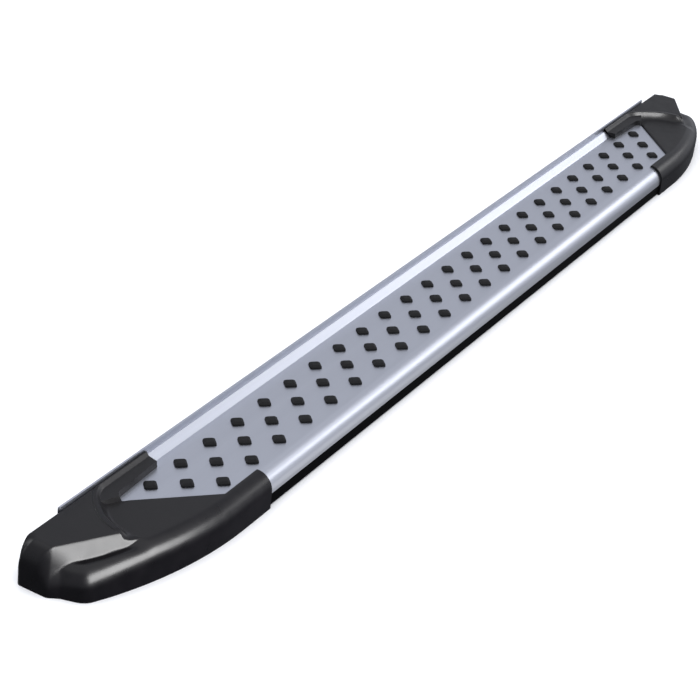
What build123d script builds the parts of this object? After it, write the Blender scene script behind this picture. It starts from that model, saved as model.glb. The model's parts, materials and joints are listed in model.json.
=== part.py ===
from build123d import *

import math
import os

# Running board (side step) for a pickup or sport utility vehicle.
#
# Frame: X runs along the board, +Y points at the vehicle, +Z is up.  The origin is the
# middle of the footprint, on the plane that the two end caps stand on.  Millimetres.

# ---------------------------------------------------------------- overall sizes
overall_length = 1770.0
overall_width = 140.0
deck_height = 43.0           # end cap underside to the top of the deck
rim_height = 16.0            # deck to the top of the rear rim
past = 1.0                   # how far a cutting shape runs past the face it cuts

# ---------------------------------------------------------------- aluminium deck shell
cap_reach = 75.0             # caps stand this far past the extrusions' rear corners
shell_length = overall_length - 2 * cap_reach  # along the rear edge; the ends are mitred
mitre_run = 160.0            # how much sooner the extrusions end at the front
shell_wall = 2.5
nose_radius = 21.0
nose_skirt = 4.5             # straight face below the rounded nose
nose_inset = 3.0             # end caps stand this far proud of the nose
rim_slope_run = 9.5
rim_slope_rise = 7.5
rim_ledge = 2.0
lip_depth = 9.0              # inward return under the nose
hook_height = 3.0

# ---------------------------------------------------------------- rubber studs
row_spacing = 30.0
stud_pitch = 60.0
stud_end_margin = 38.0
stud_side = 15.2
stud_corner = 3.0
stud_rise = 3.2
stud_shoulder = 1.0          # straight part of a stud above the deck
stud_bevel_angle = 40.0
hole_gap = 0.3
strip_width = 22.0
strip_thickness = 2.4
strip_end = 25.0
strip_gap = 0.1              # between a strip and the deck above it
groove_gap = 0.3
groove_wall = 1.6
groove_foot = 1.8

# ---------------------------------------------------------------- base rail
rail_wall = 2.5
rail_floor = 8.0             # underside of the rail's bottom plate
rail_skirt_bottom = 2.0
front_wall_lift = 2.5        # leaves room for the trim that wraps the front wall
web_position = 15.0
web_thickness = 2.0
channel_spacing = 60.0
channel_width = 17.0
channel_height = 7.0
channel_lip = 3.0
slot_width = 9.0
rear_lap = 7.0               # overlap of rail and shell at the rear
hook_gap = 0.3
hook_setback = 1.0           # keeps the hook's corner off the rounded nose

# ---------------------------------------------------------------- front trim
trim_wall = 2.0
trim_gap = 0.3

# ---------------------------------------------------------------- sliding nuts
nut_length = 24.0
nut_gap = 0.2
nut_thread_radius = 3.4      # M8 tapping size
nut_chamfer = 0.8
station_pitch = 480.0

# ---------------------------------------------------------------- end caps
cap_wall = 3.0
cap_gap = 0.3
plate_rise = 3.0             # top of the inner plate above the deck
plateau_rise = 12.0          # top of the rear arm above the deck
front_arm_length = 300.0
rear_arm_length = 235.0
rear_arm_slant = 6.0
rear_arm_width = 21.0
plate_rear_length = 154.0
plate_front_length = 234.0
front_arm_width = 24.0
sweep_length = 245.0
sweep_radius = 500.0
nose_tip_back = 17.0         # nose tip stands this far short of the end
nose_corner = 24.0
notch_back = 8.0
notch_y = 13.0
notch_run = 12.0             # from the notch to the straight end face
notch_fillet = 12.0
end_front_fillet = 10.0
end_rear_fillet = 7.0
deck_corner_fillet = 5.0
arch_radius = 55.0
arch_back = 152.0
front_fillet = 20.0
tip_drop = 11.0              # how far the front arm falls towards the tip
tip_drop_length = 100.0
facet_angle = 31.0           # facet's line in plan, from X
facet_slope = 60.0           # facet's fall, from horizontal
facet_start_back = 77.0
facet_start_y = -6.0
rib_thickness = 2.5
short_edge = 30.0            # edges shorter than this are the ends of an arm
arch_edge_fall = 8.0
arch_edge_run = 13.0
tongue_length = 60.0
tongue_thickness = 2.5
tongue_edge = 5.0

# ---------------------------------------------------------------- fasteners
screw_back = 30.0            # from the mitred end
screw_radius = 2.1
screw_length = 14.0
screw_head_radius = 4.2
screw_head_height = 2.4
screw_gap = 0.05
cross_width = 4.4            # cross recess in the screw head
cross_slot = 1.0
cross_depth = 1.2
washer_radius = 6.0
washer_thickness = 0.8
tongue_hole_gap = 0.5
screw_rows = (-46.0, 0.0, 50.0)
rivet_radius = 2.4
rivet_head_radius = 4.4
rivet_head_height = 1.6
rivet_bulb_radius = 3.7
rivet_bulb_length = 3.0
rivet_count = 8
rivet_pitch = 200.0

# ---------------------------------------------------------------- derived planes
half_length = overall_length / 2
half_width = overall_width / 2
half_shell = shell_length / 2
deck_top = deck_height
deck_bottom = deck_top - shell_wall
rim_top = deck_top + rim_height
nose_y = -half_width + nose_inset
nose_centre_y = nose_y + nose_radius
nose_centre_z = deck_top - nose_radius
lip_bottom = nose_centre_z - nose_skirt
rim_inner_y = half_width - shell_wall
ledge_z = deck_top + rim_slope_rise
slope_foot_y = rim_inner_y - rim_ledge - rim_slope_run
rail_top_plate = rail_floor + rail_wall
channel_floor = rail_floor + channel_lip
channel_top = channel_floor + channel_height
rear_joint_bottom = rail_top_plate + 2 * shell_wall + rear_lap
rear_row_y = row_spacing
plate_top = deck_top + plate_rise
plateau_top = deck_top + plateau_rise
cap_rear_y = rim_inner_y - cap_gap
deck_corner_x = half_length - plate_rear_length


def box(x0, x1, y0, y1, z0, z1):
    """Box between two corners."""
    middle = ((x0 + x1) / 2, (y0 + y1) / 2, (z0 + z1) / 2)
    return Pos(*middle) * Box(x1 - x0, y1 - y0, z1 - z0)


def bar(y0, y1, z0, z1):
    """Rectangle of a cross-section, in Y and Z."""
    return Pos((y0 + y1) / 2, (z0 + z1) / 2) * Rectangle(y1 - y0, z1 - z0)


def closed_face(*lines):
    """Face inside a chain of lines and arcs."""
    chain = Curve()
    for line in lines:
        chain += line
    return make_face(chain)


def mitre_x(y):
    """X of the extrusions' mitred right-hand end at a place across the board."""
    return half_shell - (half_width - y) * mitre_run / overall_width


def mitre_band(start, end, y0, y1, z0, z1):
    """Block that lies along the right-hand mitre, between two offsets in X."""
    plan = Polyline(
        (mitre_x(y0) + start, y0),
        (mitre_x(y0) + end, y0),
        (mitre_x(y1) + end, y1),
        (mitre_x(y1) + start, y1),
        close=True,
    )
    return Pos(0, 0, z0) * extrude(make_face(plan), amount=z1 - z0)


def mitred(shape, gap=0.0):
    """Cut both ends of an extrusion along the mitre."""
    reach = 2 * half_width
    waste = mitre_band(gap, overall_length, -reach, reach, -reach, 2 * reach)
    return shape - waste - mirror(waste, about=Plane.YZ)


def extrusion(section, length):
    """Carry a section drawn in Y and Z along X, centred on the origin."""
    plane = Plane(origin=(-length / 2, 0, 0), x_dir=(0, 1, 0), z_dir=(1, 0, 0))
    return extrude(plane * section, amount=length)


def save(node, *solids):
    """Write one named piece, or one group of like pieces."""
    shape = solids[0] if len(solids) == 1 else Compound(children=list(solids))
    export_step(shape, f"parts/{node}.step")


# ---------------------------------------------------------------- studs and their holes
def stud_rows():
    """Row name, Y of the row and X of each stud, rear row first."""
    rear_count = 1 + int(2 * (deck_corner_x - stud_end_margin) / stud_pitch)
    rows = []
    for index, name in enumerate(("rear", "middle", "front")):
        count = rear_count - index
        first = -(count - 1) * stud_pitch / 2
        places = [first + step * stud_pitch for step in range(count)]
        rows.append((name, rear_row_y - index * row_spacing, places))
    return rows


def stud_outline(side):
    """Rounded square turned 45 degrees."""
    return Rot(0, 0, 45) * RectangleRounded(side, side, stud_corner)


def stud(x, y):
    """One stud, from its strip up to its bevelled top."""
    shoulder_z = deck_top + stud_shoulder
    bevel_height = stud_rise - stud_shoulder
    foot = Pos(x, y, deck_bottom - strip_thickness / 2) * stud_outline(stud_side)
    shoulder = Pos(x, y, shoulder_z) * stud_outline(stud_side)
    block = extrude(foot, amount=shoulder_z - deck_bottom + strip_thickness / 2)
    cap = extrude(shoulder, amount=bevel_height, taper=stud_bevel_angle)
    return block + cap


def stud_strip(y, places):
    """A rubber strip that lies under the deck and carries one row of studs."""
    end = places[-1] + strip_end
    top = deck_bottom - strip_gap
    strip = box(-end, end, y - strip_width / 2, y + strip_width / 2, top - strip_thickness, top)
    return strip + [stud(x, y) for x in places]


# ---------------------------------------------------------------- deck shell
def skin_section():
    """Nose, deck, slope and rim, as one wall of even thickness."""
    slope = math.atan2(rim_slope_rise, rim_slope_run)
    ledge_y = slope_foot_y + rim_slope_run
    foot_under_y = slope_foot_y + shell_wall * math.tan(slope / 2)
    rim_under_z = deck_bottom + (rim_inner_y - foot_under_y) * math.tan(slope)
    inner_radius = nose_radius - shell_wall
    arc_in = nose_radius * math.sin(math.pi / 4)
    arc_in_under = inner_radius * math.sin(math.pi / 4)
    lip_inner_y = nose_y + lip_depth
    return closed_face(
        Line((nose_y, lip_bottom), (nose_y, nose_centre_z)),
        ThreePointArc(
            (nose_y, nose_centre_z),
            (nose_centre_y - arc_in, nose_centre_z + arc_in),
            (nose_centre_y, deck_top),
        ),
        Polyline(
            (nose_centre_y, deck_top),
            (slope_foot_y, deck_top),
            (ledge_y, ledge_z),
            (rim_inner_y, ledge_z),
            (rim_inner_y, rim_top),
            (half_width, rim_top),
            (half_width, rear_joint_bottom),
            (rim_inner_y, rear_joint_bottom),
            (rim_inner_y, rim_under_z),
            (foot_under_y, deck_bottom),
            (nose_centre_y, deck_bottom),
        ),
        ThreePointArc(
            (nose_centre_y, deck_bottom),
            (nose_centre_y - arc_in_under, nose_centre_z + arc_in_under),
            (nose_y + shell_wall, nose_centre_z),
        ),
        Polyline(
            (nose_y + shell_wall, nose_centre_z),
            (nose_y + shell_wall, lip_bottom + shell_wall),
            (lip_inner_y - shell_wall, lip_bottom + shell_wall),
            (lip_inner_y - shell_wall, lip_bottom + shell_wall + hook_height),
            (lip_inner_y, lip_bottom + shell_wall + hook_height),
            (lip_inner_y, lip_bottom),
            (nose_y, lip_bottom),
        ),
    )


def groove_section(y):
    """Two small angle ribs that hold one stud strip up against the deck."""
    clear = strip_width / 2 + groove_gap
    foot_top = deck_bottom - strip_thickness - 2 * groove_gap
    foot_bottom = foot_top - groove_wall
    ribs = Sketch()
    for side in (-1, 1):
        inner = y + side * clear
        outer = inner + side * groove_wall
        foot = inner - side * groove_foot
        ribs += bar(min(inner, outer), max(inner, outer), foot_bottom, deck_bottom)
        ribs += bar(min(foot, outer), max(foot, outer), foot_bottom, foot_top)
    return ribs


def rivet_places():
    """X of each rear rivet."""
    return [(step - (rivet_count - 1) / 2) * rivet_pitch for step in range(rivet_count)]


def rivet(x, gap):
    """Countersunk blind rivet through the rear joint; gap widens it into its hole."""
    z = rear_joint_bottom + rear_lap / 2
    outer = Plane(origin=(x, half_width, z), x_dir=(1, 0, 0), z_dir=(0, -1, 0))
    grip = shell_wall + rail_wall
    head = Solid.make_cone(
        rivet_head_radius + gap, rivet_radius + gap, rivet_head_height, plane=outer
    )
    shank = Solid.make_cylinder(rivet_radius + gap, grip + rivet_bulb_length, plane=outer)
    return head + shank


def rivet_with_bulb(x):
    """The set rivet, with its bulb behind the rail."""
    z = rear_joint_bottom + rear_lap / 2
    behind_y = half_width - shell_wall - rail_wall
    behind = Plane(origin=(x, behind_y, z), x_dir=(1, 0, 0), z_dir=(0, -1, 0))
    bulb = Solid.make_cylinder(rivet_bulb_radius, rivet_bulb_length, plane=behind)
    return rivet(x, 0) + bulb


def deck_shell():
    """The anodised aluminium extrusion with its punched stud holes."""
    section = skin_section()
    for _, y, _ in stud_rows():
        section += groove_section(y)
    shell = mitred(extrusion(section, shell_length))
    holes = []
    for _, y, places in stud_rows():
        for x in places:
            outline = Pos(x, y, deck_bottom - past) * stud_outline(stud_side + 2 * hole_gap)
            holes.append(extrude(outline, amount=shell_wall + 2 * past))
    shell -= holes
    shell -= [rivet(x, screw_gap) for x in rivet_places()]
    return shell


# ---------------------------------------------------------------- base rail
def channel_section(y):
    """Walls of one bracket channel, without its slot."""
    half = channel_width / 2 + rail_wall
    outside = bar(y - half, y + half, rail_floor, channel_top + rail_wall)
    inside = bar(y - channel_width / 2, y + channel_width / 2, channel_floor, channel_top)
    slot = bar(y - slot_width / 2, y + slot_width / 2, rail_floor - past, channel_floor + past)
    return outside - inside - slot


def rail_section():
    """Bottom plate, two channels, two webs, the front hook and the rear wall."""
    front_wall_y = nose_y + lip_depth + hook_gap
    hook_floor = lip_bottom + shell_wall + hook_height + hook_gap
    hook_y = nose_y + shell_wall + hook_setback
    section = bar(front_wall_y, rim_inner_y, rail_floor, rail_top_plate)
    front_wall_bottom = rail_skirt_bottom + front_wall_lift
    front_wall_back = front_wall_y + rail_wall
    section += bar(front_wall_y, front_wall_back, front_wall_bottom, hook_floor + rail_wall)
    section += bar(hook_y, front_wall_back, hook_floor, hook_floor + rail_wall)
    hook_tip_bottom = lip_bottom + shell_wall + hook_gap
    section += bar(hook_y, hook_y + rail_wall, hook_tip_bottom, hook_floor + rail_wall)
    rear_top = rear_joint_bottom + rear_lap
    section += bar(rim_inner_y - rail_wall, rim_inner_y, rail_skirt_bottom, rear_top)
    for side in (-1, 1):
        web_y = side * web_position
        section += bar(web_y - web_thickness / 2, web_y + web_thickness / 2, rail_floor, deck_bottom)
        section -= bar(
            side * channel_spacing / 2 - slot_width / 2,
            side * channel_spacing / 2 + slot_width / 2,
            rail_floor - past,
            rail_top_plate + past,
        )
        section += channel_section(side * channel_spacing / 2)
    return section


def screw_places(side):
    """X and Y of the three screws of one end cap."""
    return [(side * (mitre_x(y) - screw_back), y) for y in screw_rows]


def base_rail():
    """The lower extrusion that carries the brackets and closes the shell."""
    rail = mitred(extrusion(rail_section(), shell_length))
    for side in (-1, 1):
        for x, y in screw_places(side):
            place = Pos(x, y, rail_floor + rail_wall / 2)
            rail -= place * Cylinder(screw_radius + screw_gap, rail_wall + 2 * past)
    rail -= [rivet(x, screw_gap) for x in rivet_places()]
    return rail


# ---------------------------------------------------------------- front trim
def trim_section():
    """Black C-shaped trim, clipped round the rail's front flange."""
    flange_y = nose_y + lip_depth + hook_gap
    back_y = flange_y + rail_wall + trim_gap
    top = lip_bottom - trim_gap
    bottom = rail_skirt_bottom
    grip_top = rail_floor - trim_gap
    section = bar(nose_y, nose_y + trim_wall, bottom, top)
    section += bar(nose_y, flange_y - trim_gap, top - trim_wall, top)
    section += bar(nose_y, back_y + trim_wall, bottom, bottom + trim_wall)
    section += bar(back_y, back_y + trim_wall, bottom, grip_top)
    return section


def front_trim():
    """The dark strip seen below the nose."""
    return mitred(extrusion(trim_section(), shell_length))


# ---------------------------------------------------------------- end caps
def cap_outline():
    """Plan of the right-hand cap: two arms round the deck, and the swept tip."""
    front_claw_x = half_length - front_arm_length
    rear_claw_x = half_length - rear_arm_length
    sweep_x = half_length - sweep_length
    tip_x = half_length - nose_tip_back
    reach = tip_x - sweep_x
    tip_y = -half_width + sweep_radius - math.sqrt(sweep_radius**2 - reach**2)
    half_turn = math.asin(reach / sweep_radius) / 2
    middle_x = sweep_x + sweep_radius * math.sin(half_turn)
    middle_y = -half_width + sweep_radius * (1 - math.cos(half_turn))
    inner_y = cap_rear_y - rear_arm_width
    window_y = -half_width + front_arm_width
    corner_x = half_length - plate_front_length
    notch_x = half_length - notch_back
    face = closed_face(
        Line((front_claw_x, -half_width), (sweep_x, -half_width)),
        ThreePointArc((sweep_x, -half_width), (middle_x, middle_y), (tip_x, tip_y)),
        Polyline(
            (tip_x, tip_y),
            (notch_x, notch_y),
            (half_length, notch_y + notch_run),
            (half_length, cap_rear_y),
            (rear_claw_x + rear_arm_slant, cap_rear_y),
            (rear_claw_x, inner_y),
            (deck_corner_x, inner_y),
            (corner_x, window_y),
            (front_claw_x, window_y),
            (front_claw_x, -half_width),
        ),
    )
    rounds = (
        ((tip_x, tip_y), nose_corner),
        ((notch_x, notch_y), notch_fillet),
        ((half_length, notch_y + notch_run), end_front_fillet),
        ((half_length, cap_rear_y), end_rear_fillet),
        ((deck_corner_x, inner_y), deck_corner_fillet),
    )
    for (x, y), radius in rounds:
        face = fillet(face.vertices().sort_by_distance((x, y, 0))[0:1], radius)
    return face


def outline_inside(face, inset):
    """The same plan, drawn in by a wall."""
    return offset(face, amount=-inset, kind=Kind.ARC) if inset else face


def half_space_above(point, fall, heading):
    """Large block above a plane that falls at an angle along a heading in plan."""
    size = 2 * overall_length
    turned = Location(point) * Rot(0, 0, heading) * Rot(0, fall, 0)
    return turned * Pos(0, 0, size / 2) * Box(size, size, size)


def lower_body(inset):
    """Inner plate and front arm: rounded along the front, falling to the tip."""
    body = extrude(outline_inside(cap_outline(), inset), amount=plate_top - inset)
    front = [edge for edge in body.edges().group_by(Axis.Z)[-1] if is_front_edge(edge)]
    body = fillet(front, front_fillet - inset)
    fall = math.degrees(math.atan2(tip_drop, tip_drop_length))
    start = (half_length - tip_drop_length, 0, plate_top - inset)
    return body - half_space_above(start, fall, 0)


def is_front_edge(edge):
    """True for the outer top edges from the front claw round to the nose tip."""
    middle = edge.center()
    claw_x = half_length - front_arm_length
    window_y = -half_width + front_arm_width
    along = edge.bounding_box().size.X > past
    outside = middle.Y < window_y - 2 * cap_wall or middle.X > half_length - sweep_length / 2
    return along and outside and middle.Y < 0 and middle.X > claw_x


def plateau_outline():
    """Plan of the raised rear part, from the rear claw to the end."""
    inner_y = cap_rear_y - rear_arm_width
    rear_claw_x = half_length - rear_arm_length
    arch_x = half_length - arch_back
    diagonal = arch_radius * math.sin(math.pi / 4)
    arch_middle = (arch_x + diagonal, inner_y - arch_radius + diagonal)
    arch_end = (arch_x + arch_radius, inner_y - arch_radius)
    low_y = -half_width
    return closed_face(
        Polyline(
            (half_length, cap_rear_y),
            (rear_claw_x + rear_arm_slant, cap_rear_y),
            (rear_claw_x, inner_y),
            (arch_x, inner_y),
        ),
        ThreePointArc((arch_x, inner_y), arch_middle, arch_end),
        Polyline(
            arch_end,
            (arch_end[0], low_y),
            (half_length, low_y),
            (half_length, cap_rear_y),
        ),
    )


def plateau_body(inset):
    """Rear arm and flat rear part, cut by the facet that falls to the front arm."""
    plan = cap_outline() & plateau_outline()
    body = extrude(outline_inside(plan, inset), amount=plateau_top - inset)
    start_x = half_length - facet_start_back
    start = (start_x, facet_start_y + inset, plateau_top)
    body -= half_space_above(start, facet_slope, facet_angle - 90)
    top = body.edges().group_by(Axis.Z)[-1]
    arch = [edge for edge in top if is_arch_edge(edge)]
    body = chamfer(arch, arch_edge_fall, arch_edge_run, reference=body.faces().sort_by(Axis.Z)[-1])
    return body


def is_arch_edge(edge):
    """True for the inner top edges of the rear arm and the arch."""
    middle = edge.center()
    arch_x = half_length - arch_back
    along_arm = middle.Y < cap_rear_y - rear_arm_width / 2 and edge.bounding_box().size.X > short_edge
    return along_arm and middle.X < arch_x + arch_radius


def board_envelope():
    """Room for the board inside the caps, as far as the cut ends of the extrusions."""
    gap = cap_gap
    slope = math.atan2(rim_slope_rise, rim_slope_run)
    lift = gap / math.cos(slope)
    radius = nose_radius + gap
    diagonal = radius * math.sin(math.pi / 4)
    beyond_y = half_width + cap_wall
    section = closed_face(
        Line((nose_y - gap, -past), (nose_y - gap, nose_centre_z)),
        ThreePointArc(
            (nose_y - gap, nose_centre_z),
            (nose_centre_y - diagonal, nose_centre_z + diagonal),
            (nose_centre_y, deck_top + gap),
        ),
        Polyline(
            (nose_centre_y, deck_top + gap),
            (slope_foot_y, deck_top + gap),
            (slope_foot_y + rim_slope_run, ledge_z + lift),
            (beyond_y, ledge_z + lift),
            (beyond_y, -past),
            (nose_y - gap, -past),
        ),
    )
    return mitred(extrusion(section, shell_length + 2 * gap), gap)


def cap_ribs():
    """Walls inside the hollow tip: one along the mitre and one out to the end."""
    across = mitre_band(
        cap_gap, cap_gap + rib_thickness, -half_width, half_width, 0, plateau_top
    )
    start_x = mitre_x(notch_y) + cap_gap
    along = box(start_x, half_length, notch_y, notch_y + rib_thickness, 0, plateau_top)
    return across + along


def screw_tongue():
    """Flat tongue under the rail that takes the cap's three screws."""
    front_y = nose_y + lip_depth + hook_gap + rail_wall + trim_gap + trim_wall + trim_gap
    rear_y = rim_inner_y - rail_wall - tongue_edge
    bottom = rail_floor - tongue_thickness
    tongue = mitre_band(-tongue_length, cap_gap + past, front_y, rear_y, bottom, rail_floor)
    for x, y in screw_places(1):
        place = Pos(x, y, rail_floor - tongue_thickness / 2)
        tongue -= place * Cylinder(screw_radius + tongue_hole_gap, tongue_thickness + 2 * past)
    return tongue


def end_cap():
    """Right-hand moulded cap: a thin skin over the board's end, with ribs in its tip."""
    skin = lower_body(0) + plateau_body(0)
    hollow = lower_body(cap_wall) + plateau_body(cap_wall)
    cap = skin - (hollow - cap_ribs()) - board_envelope()
    return cap + screw_tongue()


# ---------------------------------------------------------------- fasteners
def cap_screw(x, y):
    """Pan-head self-tapping screw, driven up through washer and tongue into the rail."""
    seat = rail_floor - tongue_thickness - washer_thickness
    shank = Pos(x, y, seat + screw_length / 2) * Cylinder(screw_radius, screw_length)
    head = Pos(x, y, seat - screw_head_height / 2) * Cylinder(screw_head_radius, screw_head_height)
    head = fillet(head.edges().group_by(Axis.Z)[0], screw_head_height / 3)
    cross = Pos(x, y, seat - screw_head_height) * (
        Box(cross_width, cross_slot, 2 * cross_depth) + Box(cross_slot, cross_width, 2 * cross_depth)
    )
    return shank + head - cross


def cap_washer(x, y):
    """Plain washer that spreads a screw's load on the plastic tongue."""
    middle = rail_floor - tongue_thickness - washer_thickness / 2
    ring = Cylinder(washer_radius, washer_thickness)
    ring -= Cylinder(screw_radius + screw_gap, washer_thickness + 2 * past)
    return Pos(x, y, middle) * ring


def channel_nut(x, y):
    """Threaded plate that slides in a channel and takes a bracket bolt."""
    width = channel_width - 2 * nut_gap
    height = channel_height - 2 * nut_gap
    nut = Box(nut_length, width, height)
    nut = chamfer(nut.edges().filter_by(Axis.Z), nut_chamfer)
    nut -= Cylinder(nut_thread_radius, height + 2 * past)
    return Pos(x, y, channel_floor + channel_height / 2) * nut


# ---------------------------------------------------------------- write every piece
def main():
    os.makedirs("parts", exist_ok=True)
    save("deck_shell", deck_shell())
    save("base_rail", base_rail())
    save("front_trim", front_trim())
    for name, y, places in stud_rows():
        save(f"stud_strip_{name}", stud_strip(y, places))
    save("rear_rivets", *[rivet_with_bulb(x) for x in rivet_places()])
    right_cap = end_cap()
    save("end_cap_right", right_cap)
    save("end_cap_left", mirror(right_cap, about=Plane.YZ))
    for side_name, side in (("left", -1), ("right", 1)):
        places = screw_places(side)
        save(f"cap_screws_{side_name}", *[cap_screw(x, y) for x, y in places])
        save(f"cap_washers_{side_name}", *[cap_washer(x, y) for x, y in places])
    for station, x in (("left", -station_pitch), ("middle", 0), ("right", station_pitch)):
        for line, side in (("front", -1), ("rear", 1)):
            save(f"nut_{station}_{line}", channel_nut(x, side * channel_spacing / 2))


main()
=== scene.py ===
# %% [markdown]
# # A running board for a pickup
# The board is a silver extruded step with three rows of rubber studs, and a black moulded cap
# on each end.  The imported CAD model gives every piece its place, in metres, and this script
# dresses it.  It keeps the extrusions and the fasteners, and rebuilds the moulded caps and
# the rubber studs as finer meshes, because their soft shapes carry most of the look.

# %% Load the frame
import json
import math

import bmesh
import bpy
import numpy as np
from mathutils import Matrix, Vector


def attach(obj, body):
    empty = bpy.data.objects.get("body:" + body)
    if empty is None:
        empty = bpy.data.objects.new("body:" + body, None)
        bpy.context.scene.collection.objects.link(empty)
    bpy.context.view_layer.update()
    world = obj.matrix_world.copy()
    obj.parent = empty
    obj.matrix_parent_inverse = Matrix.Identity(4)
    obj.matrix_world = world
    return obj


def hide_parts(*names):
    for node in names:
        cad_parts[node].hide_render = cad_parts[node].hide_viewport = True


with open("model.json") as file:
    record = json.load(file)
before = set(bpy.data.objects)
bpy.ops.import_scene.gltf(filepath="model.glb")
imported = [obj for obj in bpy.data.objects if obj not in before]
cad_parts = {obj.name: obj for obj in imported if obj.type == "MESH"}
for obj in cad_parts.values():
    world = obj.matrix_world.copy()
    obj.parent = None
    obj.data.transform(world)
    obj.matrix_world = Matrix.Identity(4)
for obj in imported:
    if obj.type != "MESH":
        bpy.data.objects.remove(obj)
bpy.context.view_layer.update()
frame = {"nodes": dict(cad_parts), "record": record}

nodes = frame["nodes"]
MM = 0.001
BODY = "board"

# %% [markdown]
# ## The camera comes first
# A long lens from a little above keeps the long edges almost parallel while the far end still
# shrinks.  The camera could be typed in as a place and three angles.  Here it is placed from
# plainer facts: what it looks at, its heading, its height above the horizon and its distance.
# A slight roll lets the board run across the picture from corner to corner.

# %% Camera
AIM = Vector((-0.2634, 0.0173, 0.043))
HEADING, ELEVATION, ROLL = math.radians(27.46), math.radians(29.02), math.radians(6.74)
DISTANCE, LENS_MM = 2.624, 103.56


def place_camera():
    """Camera at a heading, elevation and roll about the point that it looks at."""
    level = math.cos(ELEVATION)
    forward = Vector((math.cos(HEADING) * level, math.sin(HEADING) * level, -math.sin(ELEVATION)))
    side = forward.cross(Vector((0, 0, 1))).normalized()
    above = side.cross(forward)
    right = side * math.cos(ROLL) + above * math.sin(ROLL)
    up = right.cross(forward)
    camera = bpy.data.objects.new("camera", bpy.data.cameras.new("camera"))
    bpy.context.scene.collection.objects.link(camera)
    turn = Matrix((right, up, -forward)).transposed().to_4x4()
    camera.matrix_world = Matrix.Translation(AIM - forward * DISTANCE) @ turn
    camera.data.lens = LENS_MM
    camera.data.clip_end = 50
    bpy.context.scene.camera = camera
    return camera


camera = place_camera()
print("camera at", [round(v, 3) for v in camera.matrix_world.translation])

# %% [markdown]
# ## Colours and nodes
# A hex colour is stored for a screen, so each one is turned to linear light before a shader
# gets it.  One helper adds any node, and sockets take either a value or another node's output.

# %% Helpers for materials
def colour(code):
    """Linear RGBA from an sRGB hex code."""
    parts = [int(code[i:i + 2], 16) / 255 for i in (1, 3, 5)]
    return [p / 12.92 if p <= 0.04045 else ((p + 0.055) / 1.055) ** 2.4 for p in parts] + [1.0]


def feed(tree, socket, value):
    """Give a socket a value, or link what feeds it."""
    if isinstance(value, bpy.types.NodeSocket):
        tree.links.new(value, socket)
    else:
        socket.default_value = value


def add(tree, kind, sockets, **settings):
    """Add a node: sockets by name or number, then the node's own properties."""
    node = tree.nodes.new(kind)
    for key, value in settings.items():
        setattr(node, key, value)
    for key, value in sockets.items():
        feed(tree, node.inputs[key], value)
    return node


def new_material(name, **sockets):
    """Node material; gives the material, its tree and its shader."""
    material = bpy.data.materials.new(name)
    material.use_nodes = True
    tree = material.node_tree
    shader = tree.nodes["Principled BSDF"]
    for key, value in sockets.items():
        feed(tree, shader.inputs[key.replace("_", " ")], value)
    return material, tree, shader


print("mid grey is", round(colour("#808080")[0], 3), "in linear light")

# %% [markdown]
# An even surface looks false.  Each finish here takes an uneven pattern, lets it tint the
# colour and dull the gloss a little, and presses it in as relief with its true depth.  Noise
# stays near its middle, so the pattern is read between two values and not from 0 to 1.

# %% Patterns
NOISE_LOW, NOISE_HIGH = 0.3, 0.7


def grain(tree, per_metre, detail=2.0):
    """Uneven pattern on Object coordinates, with its features per metre along each axis."""
    place = add(tree, "ShaderNodeTexCoord", {})
    scaled = add(tree, "ShaderNodeMapping", {"Vector": place.outputs["Object"], "Scale": per_metre})
    cloud = add(tree, "ShaderNodeTexNoise", {"Vector": scaled.outputs["Vector"], "Scale": 1.0,
                                             "Detail": detail})
    return cloud.outputs["Fac"]


def dress(tree, shader, tones, codes, wear, gloss):
    """Let one pattern choose between two hex codes, and another between two roughnesses."""
    tone = add(tree, "ShaderNodeMix", {"Factor": tones, "A": colour(codes[0]), "B": colour(codes[1])},
               data_type="RGBA")
    rough = add(tree, "ShaderNodeMapRange", {"Value": wear, "From Min": NOISE_LOW, "From Max": NOISE_HIGH,
                                             "To Min": gloss[0], "To Max": gloss[1]})
    feed(tree, shader.inputs["Base Color"], tone.outputs["Result"])
    feed(tree, shader.inputs["Roughness"], rough.outputs["Result"])


def emboss(tree, shader, *layers):
    """Relief from patterns laid over each other, each with its depth in millimetres."""
    sockets = {}
    for height, depth in layers:
        sockets.update({"Height": height, "Strength": 1.0, "Distance": depth * MM})
        relief = add(tree, "ShaderNodeBump", sockets)
        sockets = {"Normal": relief.outputs["Normal"]}
    feed(tree, shader.inputs["Normal"], relief.outputs["Normal"])


print("patterns are read from", NOISE_LOW, "to", NOISE_HIGH)

# %% [markdown]
# ## Metals
# Every metal here is an extrusion or a small fastener.  An extrusion's grain is drawn out
# along X, so its noise is stretched that way by a hundred or more.  Anodising leaves the deck
# satin and even, while the rail keeps its deeper die lines.

# %% Metals
def anodised_aluminium():
    """Satin silver anodising over an etched extrusion, with faint lines along X."""
    material, tree, shader = new_material("anodised_aluminium_satin", Metallic=1.0)
    # Die lines are about 0.1 mm apart.  At 1.4 mm they are coarse enough to show.
    lines = grain(tree, (1.2, 700, 700))
    etch = grain(tree, (1600, 1600, 1600))
    dress(tree, shader, lines, ("#B3B6BF", "#BCBFC8"), lines, (0.34, 0.42))
    emboss(tree, shader, (etch, 0.004), (lines, 0.002))
    return material


def mill_aluminium():
    """Untreated extrusion: brighter die lines and a slight grey bloom."""
    material, tree, shader = new_material("mill_aluminium_die_lines", Metallic=1.0)
    # Deeper lines 2.2 mm apart, and a bloom in patches of 30 to 110 mm.
    lines = grain(tree, (0.8, 450, 450), 4.0)
    bloom = grain(tree, (9, 30, 30))
    dress(tree, shader, bloom, ("#B4B6B8", "#CBCCCE"), lines, (0.28, 0.5))
    emboss(tree, shader, (lines, 0.01))
    return material


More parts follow.
